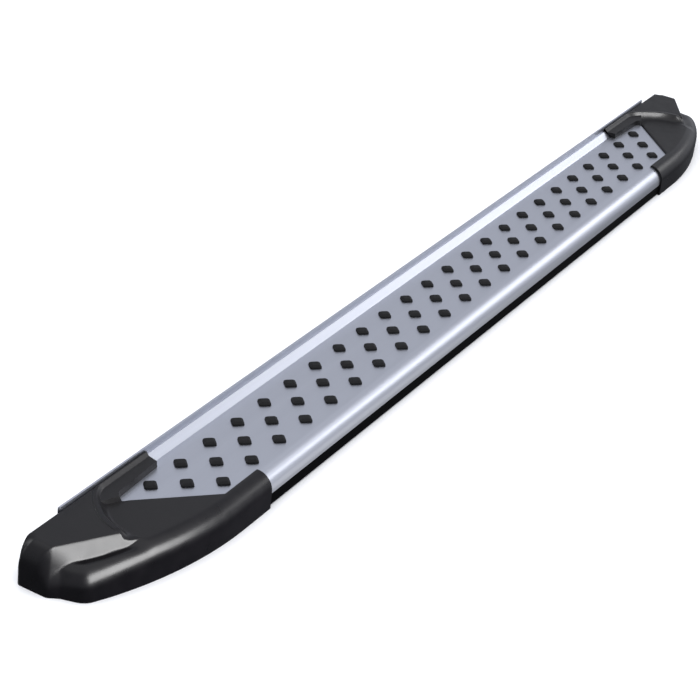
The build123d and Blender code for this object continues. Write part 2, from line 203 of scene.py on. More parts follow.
def zinc_steel():
    """Bright zinc plating with its mottled, slightly blue spangle."""
    material, tree, shader = new_material("zinc_plated_steel", Metallic=1.0)
    spangle = grain(tree, (420, 420, 420), 3.0)  # 2.4 mm across
    dress(tree, shader, spangle, ("#B9BCC0", "#D3D6DA"), spangle, (0.25, 0.42))
    return material


def rivet_aluminium():
    """Drawn rivet head, bright, with fine turned marks."""
    material, tree, shader = new_material("drawn_rivet_aluminium", Metallic=1.0)
    marks = grain(tree, (1500, 200, 1500))  # 0.7 mm apart
    dress(tree, shader, marks, ("#CFD0D3", "#DDDEE1"), marks, (0.22, 0.36))
    return material


finishes = {
    "anodised_aluminium": anodised_aluminium(), "mill_aluminium": mill_aluminium(),
    "zinc_steel": zinc_steel(), "rivet_aluminium": rivet_aluminium(),
}
print(len(finishes), "metals")

# %% [markdown]
# ## Plastics and rubber
# The caps are one moulding with two finishes: fine grain on the flats, and polish on the
# rolled arms.  A vertex attribute called polish, written when the cap is lofted, tells the
# shader which is which.  The lower trim is extruded plastic, and the studs are soft rubber.

# %% Plastics and rubber
def cap_plastic():
    """Black moulded ABS; the attribute polish runs from 0, grained, to 1, glossy."""
    material, tree, shader = new_material("moulded_abs_black", Specular_IOR_Level=0.26)
    polish = add(tree, "ShaderNodeAttribute", {}, attribute_name="polish").outputs["Fac"]
    # Spark-eroded grain, 0.7 mm across, over faint flow clouds of 17 mm.
    texture = grain(tree, (1400, 1400, 1400), 3.0)
    cloud = grain(tree, (60, 60, 60))
    tone = add(tree, "ShaderNodeMix", {"Factor": cloud, "A": colour("#020203"), "B": colour("#050406")},
               data_type="RGBA")
    worn = add(tree, "ShaderNodeMapRange", {"Value": cloud, "From Min": NOISE_LOW, "From Max": NOISE_HIGH,
                                            "To Min": -0.03, "To Max": 0.03})
    sheen = add(tree, "ShaderNodeMapRange", {"Value": polish, "To Min": 0.5, "To Max": 0.3})
    rough = add(tree, "ShaderNodeMath", {0: sheen.outputs["Result"], 1: worn.outputs["Result"]},
                operation="ADD")
    depth = add(tree, "ShaderNodeMapRange", {"Value": polish, "To Min": 1.0, "To Max": 0.12})
    height = add(tree, "ShaderNodeMath", {0: texture, 1: depth.outputs["Result"]}, operation="MULTIPLY")
    feed(tree, shader.inputs["Base Color"], tone.outputs["Result"])
    feed(tree, shader.inputs["Roughness"], rough.outputs["Value"])
    emboss(tree, shader, (height.outputs["Value"], 0.05))
    return material


def black_trim():
    """Black extruded plastic: satin, with faint lines along X."""
    material, tree, shader = new_material("extruded_plastic_black", Specular_IOR_Level=0.05)
    lines = grain(tree, (1.5, 500, 500))  # 2 mm apart
    dress(tree, shader, lines, ("#030303", "#060607"), lines, (0.42, 0.55))
    emboss(tree, shader, (lines, 0.006))
    return material


def stud_rubber():
    """Black moulded rubber, dull, with a dusty bloom on its skin."""
    material, tree, shader = new_material("moulded_rubber_black", Specular_IOR_Level=0.22)
    bloom = grain(tree, (240, 240, 240), 4.0)  # 4 mm across
    dress(tree, shader, bloom, ("#0C0C0D", "#151516"), bloom, (0.55, 0.7))
    emboss(tree, shader, (bloom, 0.02))
    return material


finishes.update(cap_plastic=cap_plastic(), black_trim=black_trim(), stud_rubber=stud_rubber())
slots = {part["node"]: part["material_slot"] for part in frame["record"]["subparts"]}
for name, node in nodes.items():
    node.data.materials.clear()
    node.data.materials.append(finishes[slots[name]])
print(len(finishes), "finishes on", len(nodes), "CAD nodes")

# %% [markdown]
# ## The moulded end cap
# The cap wraps the corner of the deck: a rear arm, an inner plate, a raised plateau, a slanted
# facet and a rounded front arm.  A subdivision cage could make it, but its creases run at odd
# angles to each other.  A loft of closed sections is simpler.  Each section runs from the edge
# against the deck to the outline of the cap, and its height comes from one rule for the top.
#
# First come the two paths in plan that the sections run between, for the right-hand cap, in
# millimetres.

# %% Paths in plan
SWEEP_START, SWEEP_RADIUS, FRONT_Y = 640.0, 500.0, -70.0
END_X, REAR_Y, TIP_X, TIP_REACH = 885.0, 67.2, 868.0, 28.0
CLAW_END, CLAW_SLANT, ARM_END_X, ARM_Y = (653, 47), 0.223, 585.0, -46.0
ARC_STEPS, SWEEP_SAMPLES, PATH_STEP = 16, 40, 0.5


def sweep_y(x):
    """Y of the swept front edge."""
    return FRONT_Y + SWEEP_RADIUS - math.sqrt(SWEEP_RADIUS ** 2 - (x - SWEEP_START) ** 2)


def rounded_path(corners, step):
    """Open path of straight runs with a radius at each corner, sampled evenly."""
    points = [Vector(corners[0][:2])]
    for before, here, after in zip(corners, corners[1:], corners[2:]):
        corner, radius = Vector(here[:2]), here[2]
        back = (Vector(before[:2]) - corner).normalized()
        on = (Vector(after[:2]) - corner).normalized()
        if radius == 0:
            points.append(corner)
            continue
        half = back.angle(on) / 2
        centre = corner + (back + on).normalized() * radius / math.sin(half)
        start = corner + back * radius / math.tan(half) - centre
        stop = corner + on * radius / math.tan(half) - centre
        turn = start.angle_signed(stop)
        for part in range(ARC_STEPS + 1):
            points.append(centre + Matrix.Rotation(-turn * part / ARC_STEPS, 2) @ start)
    points.append(Vector(corners[-1][:2]))
    line = np.array([tuple(p) for p in points])
    run = np.concatenate([[0], np.cumsum(np.hypot(*np.diff(line, axis=0).T))])
    places = np.linspace(0, run[-1], int(run[-1] / step) + 1)
    return np.column_stack([np.interp(places, run, line[:, axis]) for axis in (0, 1)])


front_sweep = [(x, sweep_y(x), 0) for x in np.linspace(SWEEP_START, TIP_X - TIP_REACH, SWEEP_SAMPLES)]
tip = [(END_X, REAR_Y, 7), (END_X, 25, 10), (877, 13, 12), (TIP_X, sweep_y(TIP_X), 24)]
outer_path = rounded_path([(648.5, REAR_Y)] + tip + front_sweep[::-1] + [(ARM_END_X, FRONT_Y)], PATH_STEP)
inner_path = rounded_path([CLAW_END, (744, 42.3, 6), (651, ARM_Y, 4), (ARM_END_X, ARM_Y)], PATH_STEP)
print("outline of", len(outer_path), "points, deck edge of", len(inner_path))

# %% [markdown]
# Next the sections are paired: each pair below joins a place on the deck edge to a place on
# the outline, and the sections between two pairs are spread evenly.  The fan turns round the
# deck corner this way without crossing itself.

# %% Spokes
PAIRS = (
    ((653, 47), (648.5, 67.2), 1), ((655, 47), (650.5, 67.2), 7), ((739, 42.6), (739, 67.2), 30),
    ((735, 34), (868, 67.2), 56), ((730, 29), (END_X, 58), 16), ((716, 16), (END_X, 28), 26),
    ((698, -1), (868, -10), 44), ((666, -31), (770, -52), 46), ((651, -46), (662, -69.5), 40),
    ((587, -46), (587, -70), 30), ((585, -46), (585, -70), 7),
)


def nearest(path, place):
    """Index of the sample nearest to a place."""
    return float(np.argmin(np.hypot(*(path - np.array(place)).T)))


def on_path(path, index):
    """Points of a path at fractional indexes."""
    return np.column_stack([np.interp(index, np.arange(len(path)), path[:, axis]) for axis in (0, 1)])


def spokes():
    """Inner and outer end of every section."""
    inner, outer = [], []
    for (in_a, out_a, _), (in_b, out_b, count) in zip(PAIRS, PAIRS[1:]):
        share = np.linspace(0, 1, count, endpoint=False)
        for ends, path, a, b in ((inner, inner_path, in_a, in_b), (outer, outer_path, out_a, out_b)):
            low, high = nearest(path, a), nearest(path, b)
            ends.extend(low + (high - low) * share)
    inner.append(len(inner_path) - 1.0)
    outer.append(len(outer_path) - 1.0)
    return on_path(inner_path, inner), on_path(outer_path, outer)


spoke_in, spoke_out = spokes()
print(len(spoke_in), "sections")

# %% [markdown]
# The top of the cap is a height over the plan.  It is built the way the form reads: a plate
# that falls to the tip, a ridge that rises in a cove and ends at a fine seam, the plateau
# behind the seam, and the facet that cuts both down to the front arm.  Soft minimum and
# maximum join them with small radii, as a mould would.

# %% Levels and blends
PLATE_Z, PLATEAU_Z, RIDGE_Z = 46.0, 55.0, 56.2
ARCH = (733.0, -8.8)
FACET_FROM, FACET_HEADING, FACET_FALL = (806.0, -6.0), math.radians(31), math.radians(60)
DECK_GAP_Z = 43.3
ARCH_FOOT, ARCH_CREST, ARCH_SEAM = (57.0, 50.0), (74.5, 62.0), (77.5, 68.0)  # rear of the arch, its end
CORNER_DIP, RIDGE_CUT, COVE_POWER = 2.2, 0.4, 1.7
GROOVE_DEPTH, GROOVE_REACH, GROOVE_WIDTH = 0.3, 0.5, 0.8
TIP_FALL, TIP_START, TIP_RUN, TIP_POWER = 12.0, 785.0, 95.0, 1.3
VALLEY_DEPTH, VALLEY_WIDTH = 4.5, 9.0
RIDGE_BLEND, FACET_BLEND, FOOT_BLEND_LEAST, FOOT_BLEND_RISE = 1.2, 1.5, 0.05, 1.45


def smooth_step(value, start, stop):
    """0 before start, 1 after stop, and an easy curve between."""
    t = np.clip((value - start) / (stop - start), 0, 1)
    return t * t * (3 - 2 * t)


def soft_min(a, b, reach):
    """Lower of two heights, blended where they are closer than reach."""
    t = np.clip(0.5 + 0.5 * (b - a) / reach, 0, 1)
    return b + (a - b) * t - reach * t * (1 - t)


def soft_max(a, b, reach):
    """Higher of two heights, blended where they are close."""
    return -soft_min(-a, -b, reach)


print("a blend with a reach of 2 mm takes", round(1 - float(soft_min(1.0, 1.0, 2.0)), 2), "mm off")

# %% [markdown]
# The ridge and its seam follow an arch: a quarter circle in plan that runs on straight at both
# ends.  So both are a matter of how far a place is from the arch's centre.  The bare pairs in
# this cell are places in plan, in millimetres, between which a feature fades in or out.

# %% Height of the top
def arch_distance(x, y):
    """Distance from the arch's centre, and how far round the arch a place is, 0 to 1."""
    east, north = x - ARCH[0], y - ARCH[1]
    bend = (east > 0) & (north > 0)
    distance = np.where(bend, np.hypot(east, north), np.maximum(north, east))
    turn = np.where(bend, np.arctan2(east, np.maximum(north, 1e-6)), np.where(east > 0, math.pi / 2, 0))
    return np.where((east <= 0) & (north <= 0), 0, distance), smooth_step(turn, 0, math.radians(50))


def top_form(x, y):
    """Height before the edges are rounded, and the polish of the surface there."""
    distance, turn = arch_distance(x, y)
    foot, crest, seam = (rear + (end - rear) * turn for rear, end in (ARCH_FOOT, ARCH_CREST, ARCH_SEAM))
    near_corner = smooth_step(y, 28, 42) * (1 - smooth_step(x, 735, 770))
    low = PLATE_Z - CORNER_DIP * near_corner
    rise = np.clip((distance - foot) / (crest - foot), 0, 1)
    flat = np.full_like(x, RIDGE_Z - RIDGE_CUT)
    ridge = soft_min(low + (RIDGE_Z - low) * rise ** COVE_POWER, flat, RIDGE_BLEND)
    ridge = low + (ridge - low) * smooth_step(y, -20, 0)
    step = smooth_step(distance, seam - GROOVE_REACH, seam + GROOVE_REACH)
    groove = GROOVE_DEPTH * np.exp(-((distance - seam - GROOVE_REACH) / GROOVE_WIDTH) ** 2)
    upper = ridge * (1 - step) + PLATEAU_Z * step - groove
    away = ((x - FACET_FROM[0]) * math.sin(FACET_HEADING)
            - (y - FACET_FROM[1]) * math.cos(FACET_HEADING))
    facet = PLATEAU_Z - away * math.tan(FACET_FALL)
    fall = TIP_FALL * np.clip((x - TIP_START) / TIP_RUN, 0, 1.1) ** TIP_POWER
    valley = (VALLEY_DEPTH * np.exp(-((away - VALLEY_WIDTH) / VALLEY_WIDTH) ** 2)
              * smooth_step(x, 780, 803) * (1 - smooth_step(x, 825, 870)))
    blend = FOOT_BLEND_LEAST + FOOT_BLEND_RISE * smooth_step(away, -6.0, 1.0)
    form = soft_max(low - fall - valley, soft_min(upper, facet, FACET_BLEND), blend)
    form = np.where(distance < foot, low - fall - valley, form)
    on_ridge = smooth_step(distance, foot, foot + 3) * (1 - smooth_step(distance, seam - 0.5, seam))
    polish = np.maximum(on_ridge, smooth_step(away, 0.0, 1.5) * (distance > foot))
    return form, polish


print("the plateau stands", PLATEAU_Z - PLATE_Z, "mm over the plate")

# %% [markdown]
# A moulded edge is rolled, wide and deep at the ends and small at the back.  The roll depends
# only on how far a place is from the outline, so it is measured to the line itself.  Measured to
# the nearest sample, it would leave streaks in the gloss.

# %% Rolled edges
WALL = 2.7
ROLL_WIDTH, ROLL_DEPTH = 22.0, 22.0
END_ROLL_WIDTH, END_ROLL_DEPTH, LIP_Z = 20.0, 34.0, 7.0
REAR_EDGE, ARRIS, DECK_EDGE_WIDTH, DECK_EDGE_DEPTH = 2.0, 0.9, 4.0, 2.0
ROLL_CHANGE_Y, POLISHED_SHARE = 26.0, 0.8


def edge_drop(gap, width, depth):
    """How far an elliptical rolled edge has fallen, at a gap from its outline."""
    inside = np.clip(1 - gap / width, 0, 1)
    return depth * (1 - np.sqrt(1 - inside ** 2))


def gap_to(points, path):
    """Distance of points from a path, and the Y of the nearest sample."""
    gaps, index = np.empty(len(points)), np.empty(len(points), int)
    for start in range(0, len(points), 2000):
        part = slice(start, start + 2000)
        away = ((points[part, None, :] - path[None, :, :]) ** 2).sum(axis=2)
        index[part] = away.argmin(axis=1)
        gaps[part] = np.sqrt(away.min(axis=1))
    for step in (-1, 1):
        near = path[index]
        side = path[np.clip(index + step, 0, len(path) - 1)] - near
        length = np.maximum((side ** 2).sum(axis=1), 1e-9)
        share = np.clip(((points - near) * side).sum(axis=1) / length, 0, 1)
        foot = near + side * share[:, None]
        gaps = np.minimum(gaps, np.hypot(*(points - foot).T))
    return gaps, path[index, 1]


def cap_height(points, inset=0.0):
    """Height and polish of the cap's skin; an inset gives the ceiling inside it."""
    form, polish = top_form(points[:, 0], points[:, 1])
    rolled = outer_path[(outer_path[:, 1] < REAR_Y - 0.2) | (outer_path[:, 0] > END_X - 6)]
    gap, beside = gap_to(points, rolled)
    toward_end = smooth_step(beside, 0.0, ROLL_CHANGE_Y)
    width = ROLL_WIDTH + (END_ROLL_WIDTH - ROLL_WIDTH) * toward_end
    depth = ROLL_DEPTH + (END_ROLL_DEPTH - ROLL_DEPTH) * toward_end
    depth = np.minimum(depth, form - LIP_Z)
    drop = edge_drop(np.maximum(gap - inset, 0), width - inset, depth - inset)
    rear_gap = np.maximum(REAR_Y - points[:, 1] - inset, 0)
    drop = np.maximum(drop, edge_drop(rear_gap, REAR_EDGE, REAR_EDGE))
    if inset == 0:
        deck_gap = gap_to(points, inner_path)[0]
        drop = np.maximum(drop, edge_drop(deck_gap, DECK_EDGE_WIDTH, DECK_EDGE_DEPTH))
        claw = np.abs(points[:, 0] - CLAW_END[0] + (points[:, 1] - CLAW_END[1]) * CLAW_SLANT)
        ends = np.where(points[:, 1] < 0, points[:, 0] - ARM_END_X, claw)
        drop = np.maximum(drop, edge_drop(np.maximum(ends, 0), ARRIS, ARRIS))
    polish = np.maximum(polish, smooth_step(-gap, -width, -width * POLISHED_SHARE))
    return form - drop - inset, np.clip(polish, 0, 1)


print("the wall is", WALL, "mm thick")

# %% [markdown]
# The skin would need a very fine grid if its rows were even.  Instead each section is sampled
# finely once, and its rows crowd together where it bends.  The inside follows the board's own
# shape where the board is, and is hollow beyond the cut ends of the extrusions.

# %% Rows of the sections
OUTER_ROWS, WALL_ROWS, INNER_ROWS = 96, 5, 20
MITRE_END, MITRE_RUN, HALF_WIDTH = 810.0, 160.0, 70.0
NOSE_Y, NOSE_Z, NOSE_RADIUS, SLOPE_Y, SLOPE_RUN, SLOPE_RISE = -46.0, 22.0, 21.3, 56.0, 9.5, 0.79
EVEN_SAMPLES, EDGE_SAMPLES, EDGE_SHARE, FIRST_SHARES = 170, 70, 0.8, (0.002, 0.006, 0.014)
BEND_PULL, ROW_REACH, ROW_SPREAD = 16.0, 8, 4.0
LEDGE_Z, SKIN_LEAST, LEAN_LEAST = 51.0, 0.6, 0.45


def mitre_x(y):
    """X of the extrusions' mitred end."""
    return MITRE_END - (HALF_WIDTH - y) * MITRE_RUN / (2 * HALF_WIDTH)


def board_top(y):
    """Height that the inside of the cap must clear where the board is."""
    nose = NOSE_Z + np.sqrt(np.maximum(NOSE_RADIUS ** 2 - (np.minimum(y, NOSE_Y) - NOSE_Y) ** 2, 0))
    slope = DECK_GAP_Z + np.clip(y - SLOPE_Y, 0, SLOPE_RUN) * SLOPE_RISE
    return np.where(y < NOSE_Y, nose, slope)


def crowd(line, count, pull):
    """Resample a 2-D line so that its points crowd where it bends."""
    step = np.diff(line, axis=0)
    length = np.hypot(*step.T)
    heading = np.unwrap(np.arctan2(step[:, 1], step[:, 0]))
    bend = np.abs(np.diff(heading))
    weight = length + 0.02
    weight[1:] += pull * bend / 2
    weight[:-1] += pull * bend / 2
    run = np.concatenate([[0], np.cumsum(weight)])
    place = np.linspace(0, run[-1], count)
    return np.interp(place, run, np.arange(len(line)))


def top_rows():
    """Share of the way along every section at which each outer row lies."""
    even = np.linspace(0, 1, EVEN_SAMPLES)
    edge = 1 - (1 - np.linspace(EDGE_SHARE, 1, EDGE_SAMPLES)) ** 2 / (1 - EDGE_SHARE)
    share = np.unique(np.concatenate([even, edge, FIRST_SHARES]))
    along = spoke_out - spoke_in
    length = np.hypot(*along.T)
    points = spoke_in[:, None, :] + share[None, :, None] * along[:, None, :]
    height = cap_height(points.reshape(-1, 2))[0].reshape(len(along), -1)
    picks = []
    for run, top in zip(length, height):
        pick = crowd(np.column_stack([share * run, top]), OUTER_ROWS, BEND_PULL)
        picks.append(np.interp(pick, np.arange(len(share)), share))
    picks = np.array(picks)
    kernel = np.exp(-(np.arange(-ROW_REACH, ROW_REACH + 1) / ROW_SPREAD) ** 2)
    padded = np.pad(picks, ((ROW_REACH, ROW_REACH), (0, 0)), mode="edge")
    smoothed = sum(k * padded[i:i + len(picks)] for i, k in enumerate(kernel)) / kernel.sum()
    smoothed[:, 0], smoothed[:, -1] = 0.0, 1.0
    return smoothed


shares = top_rows()
print(shares.shape[1], "rows on top of every section")

# %% [markdown]
# A section is a closed loop.  It starts at the deck edge, runs over the top, drops down the
# outer wall, and comes back on the inside, one wall thickness in.  Loops that all have the
# same number of points can be joined row by row, and that is all that a loft is.

# %% Sections and the loft
BOARD_GAP = 0.3


def wall_bottom(stop):
    """Height at which the outer wall ends: on the shell's ledge, or at the ground plane."""
    on_ledge = stop[1] > REAR_Y - 4 and stop[0] < MITRE_END
    return LEDGE_Z if on_ledge else 0.0


def section(start, stop, share, height, polish):
    """Closed section between two plan points: deck edge, top, wall, then the inside back."""
    along = stop - start
    length = float(np.hypot(*along))
    along = along / length
    bottom = wall_bottom(stop)
    wall = np.linspace(height[-1], bottom, WALL_ROWS + 1)[1:]
    outer = np.column_stack([
        np.concatenate([[0], share * length, np.full(WALL_ROWS, length)]),
        np.concatenate([[DECK_GAP_Z], height, wall]),
        np.concatenate([polish[:1], polish, np.full(WALL_ROWS, polish[-1])]),
    ])
    lean = max(abs(float(along @ outward(stop))), LEAN_LEAST)
    back = np.linspace(length - WALL / lean, 0, INNER_ROWS)
    inside = start + back[:, None] * along
    ceiling = cap_height(inside, WALL)[0]
    over_board = inside[:, 0] < mitre_x(inside[:, 1]) + BOARD_GAP
    ceiling = np.where(over_board, np.maximum(ceiling, board_top(inside[:, 1])), ceiling)
    skin = np.interp(back, share * length, height) - SKIN_LEAST
    ceiling = np.maximum(np.minimum(ceiling, skin), bottom)
    inner = np.column_stack([back, ceiling, np.zeros(INNER_ROWS)])[:-1]
    rows = np.vstack([outer, [(back[0], bottom, 0)], inner])
    place = start + rows[:, :1] * along
    return np.column_stack([place, rows[:, 1]]), rows[:, 2]


def outward(place):
    """Direction square to the outline at a place on it."""
    index = int(nearest(outer_path, place))
    low, high = max(index - 2, 0), min(index + 2, len(outer_path) - 1)
    along = outer_path[high] - outer_path[low]
    along = along / np.hypot(*along)
    return np.array((-along[1], along[0]))


def loft(sections, name):
    """Mesh through closed sections of the same length, closed at both ends."""
    count = len(sections[0][0])
    mesh = bpy.data.meshes.new(name)
    vertices = np.vstack([points for points, _ in sections]) * MM
    faces = []
    for band in range(len(sections) - 1):
        low, high = band * count, (band + 1) * count
        for row in range(count):
            after = (row + 1) % count
            faces.append((low + row, low + after, high + after, high + row))
    faces.append(tuple(range(count)))
    last = (len(sections) - 1) * count
    faces.append(tuple(last + row for row in reversed(range(count))))
    mesh.from_pydata([tuple(v) for v in vertices], [], faces)
    polish = mesh.attributes.new("polish", "FLOAT", "POINT")
    polish.data.foreach_set("value", np.concatenate([p for _, p in sections]))
    return mesh


plan = spoke_in[:, None, :] + shares[:, :, None] * (spoke_out - spoke_in)[:, None, :]
tops, polishes = (v.reshape(shares.shape) for v in cap_height(plan.reshape(-1, 2)))
cap_sections = [section(*parts) for parts in zip(spoke_in, spoke_out, shares, tops, polishes)]
print("section of", len(cap_sections[0][0]), "points")

# %% [markdown]
# Inside the hollow tip, two ribs stiffen the skin, and a flat tongue reaches under the rail
# for the three screws.  The ribs are thin walls whose top follows the ceiling.  The tongue is
# a filled curve with three holes, given its thickness and then turned into a mesh.

# %% Ribs and tongue
RIB, TONGUE_LOW, TONGUE_HIGH = 2.5, 5.5, 8.0
SCREW_ROWS, SCREW_BACK, HOLE_RADIUS, HOLE_SIDES = (-46.0, 0.0, 50.0), 30.0, 2.6, 32
TONGUE_SIDES, TONGUE_REACH = (-50, 60), 60
RIB_FOOT, RIB_Y, RIB_END, RIB_HALF_LENGTH, RIB_PLACES = 0.2, 13.0, 874, 62, (63, 45)


def rib_mesh(path, across):
    """Thin wall along a plan path, from the ground plane up into the skin."""
    sections = []
    for place in path:
        top = float(cap_height(np.array([place]), WALL)[0][0]) + SKIN_LEAST
        near, far = np.array(place), np.array(place) + across
        loop = [(*near, RIB_FOOT), (*far, RIB_FOOT), (*far, top), (*near, top)]
        sections.append((np.array(loop), np.zeros(4)))
    return loft(sections, "rib")


def tongue_mesh():
    """Flat tongue with screw holes, made from a filled curve."""
    curve = bpy.data.curves.new("tongue", "CURVE")
    curve.dimensions, curve.fill_mode = "2D", "BOTH"
    curve.extrude = (TONGUE_HIGH - TONGUE_LOW) / 2 * MM
    front, rear = TONGUE_SIDES
    past = BOARD_GAP + 1
    corners = ((front, -TONGUE_REACH), (front, past), (rear, past), (rear, -TONGUE_REACH))
    plan = [(mitre_x(y) + reach, y) for y, reach in corners]
    loops = [plan]
    for y in SCREW_ROWS:
        x = mitre_x(y) - SCREW_BACK
        turns = [2 * math.pi * part / HOLE_SIDES for part in range(HOLE_SIDES)]
        loops.append([(x + HOLE_RADIUS * math.cos(a), y + HOLE_RADIUS * math.sin(a)) for a in turns])
    for loop in loops:
        spline = curve.splines.new("POLY")
        spline.points.add(len(loop) - 1)
        spline.use_cyclic_u = True
        for point, (x, y) in zip(spline.points, loop):
            point.co = (x * MM, y * MM, 0, 1)
    holder = bpy.data.objects.new("tongue", curve)
    bpy.context.scene.collection.objects.link(holder)
    mesh = bpy.data.meshes.new_from_object(holder.evaluated_get(bpy.context.evaluated_depsgraph_get()))
    bpy.data.objects.remove(holder)
    mesh.transform(Matrix.Translation((0, 0, (TONGUE_LOW + TONGUE_HIGH) / 2 * MM)))
    return mesh


mitre_rows = np.linspace(-RIB_HALF_LENGTH, RIB_HALF_LENGTH, RIB_PLACES[0])
mitre_path = [(mitre_x(y) + BOARD_GAP, y) for y in mitre_rows]
long_path = [(x, RIB_Y) for x in np.linspace(mitre_x(RIB_Y) + BOARD_GAP, RIB_END, RIB_PLACES[1])]
cap_meshes = [loft(cap_sections, "skin"), rib_mesh(mitre_path, (RIB, 0)), rib_mesh(long_path, (0, RIB)),
              tongue_mesh()]
print(len(cap_meshes), "meshes make up one cap")

# %% [markdown]
# A mesh becomes a piece in three moves.  The parts are merged, and mirrored for the other end.
# The faces are then turned outward, because a mirrored mesh is inside out.  Last, the object
# is told which body it rides on, and the CAD nodes that it replaces are hidden.

# %% Both caps
CAP_CREASE, STUD_CREASE, MERGE = 32, 50, 0.01 * MM


def joined(meshes, name, mirror=False):
    """One mesh from several, merged, mirrored if asked, with its faces turned outward."""
    work = bmesh.new()
    for mesh in meshes:
        work.from_mesh(mesh)
    if mirror:
        bmesh.ops.transform(work, matrix=Matrix.Scale(-1, 4, (1, 0, 0)), verts=work.verts)
    bmesh.ops.remove_doubles(work, verts=work.verts, dist=MERGE)
    bmesh.ops.recalc_face_normals(work, faces=work.faces)
    mesh = bpy.data.meshes.new(name)
    work.to_mesh(mesh)
    work.free()
    return mesh


def new_piece(mesh, finish, *replaced):
    """Object for a finished mesh that rides on the board; the CAD nodes it replaces are hidden."""
    piece = bpy.data.objects.new(mesh.name, mesh)
    bpy.context.scene.collection.objects.link(piece)
    mesh.materials.append(finishes[finish])
    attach(piece, BODY)
    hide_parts(*replaced)
    return piece


def smooth_by_angle(mesh, degrees):
    """Smooth shading, with a hard edge wherever two faces meet sharply."""
    mesh.shade_smooth()
    mesh.set_sharp_from_angle(angle=math.radians(degrees))


for side, mirror in (("right", False), ("left", True)):
    mesh = joined(cap_meshes, f"moulded_cap_{side}", mirror)
    smooth_by_angle(mesh, CAP_CREASE)
    new_piece(mesh, "cap_plastic", f"end_cap_{side}")
    print(mesh.name, len(mesh.polygons), "faces")

# %% [markdown]
# ## The rubber studs
# Sixty-nine studs stand in three staggered rows.  They repeat, so Geometry Nodes lay them out:
# one tree takes a count, a pitch and a row's place, sets copies of one stud along a line, adds
# the strip under the deck, and makes the copies real.

# %% One stud
STUD_SIDE, STUD_CORNER, STUD_TOP, STUD_SHOULDER = 15.2, 3.0, 47.4, 45.2
STRIP_TOP, STRIP_BOTTOM, STRIP_WIDTH = 40.4, 38.0, 22.0
ROWS = (("rear", 30.0, 24), ("middle", 0.0, 23), ("front", -30.0, 22))
PITCH, STRIP_END, STRIP_STEPS = 60.0, 25.0, 60
STUD_LEVELS = (  # how far in from the shoulder, and the height
    (0, STRIP_TOP - 0.5), (0, STUD_SHOULDER - 0.3), (-0.12, STUD_SHOULDER),
    (-0.5, STUD_SHOULDER + 0.35), (-2.9, STUD_TOP - 0.35), (-3.3, STUD_TOP - 0.1),
    (-4.2, STUD_TOP),
)
SIDE_TAPER, CORNER_TAPER, CORNER_LEAST = 0.9, 0.55, 0.8


def square_loop(side, corner, height, steps=5):
    """Rounded square turned to stand on its corner, as seen from above."""
    half = side / 2 - corner
    loop = []
    for quarter in range(4):
        centre = Matrix.Rotation(quarter * math.pi / 2, 2) @ Vector((half, half))
        for part in range(steps):
            angle = math.pi / 2 * (quarter + part / (steps - 1))
            loop.append((centre.x + corner * math.cos(angle), centre.y + corner * math.sin(angle)))
    tilt = math.radians(45)
    return [(x * math.cos(tilt) - y * math.sin(tilt), x * math.sin(tilt) + y * math.cos(tilt), height)
            for x, y in loop]


def stud_mesh():
    """Stud from its strip up: shoulder, bevel and a slightly crowned top, edges eased."""
    vertices, faces = [], []
    for inset, height in STUD_LEVELS:
        corner = max(STUD_CORNER + inset * CORNER_TAPER, CORNER_LEAST)
        vertices += square_loop(STUD_SIDE + 2 * inset * SIDE_TAPER, corner, height)
    count = len(vertices) // len(STUD_LEVELS)
    for band in range(len(STUD_LEVELS) - 1):
        for row in range(count):
            a = band * count + row
            b = band * count + (row + 1) % count
            faces.append((a, b, b + count, a + count))
    faces.append(tuple(reversed(range(count))))
    faces.append(tuple(range(len(vertices) - count, len(vertices))))
    mesh = bpy.data.meshes.new("stud")
    mesh.from_pydata([tuple(c * MM for c in v) for v in vertices], [], faces)
    return mesh


stud_model = bpy.data.objects.new("stud_model", stud_mesh())
print("a stud has", len(stud_model.data.polygons), "faces")

# %% [markdown]
# A tree could also copy the studs with a modifier that stays live.  The finished object wants
# plain meshes, so the result of each row is kept and its modifier goes.

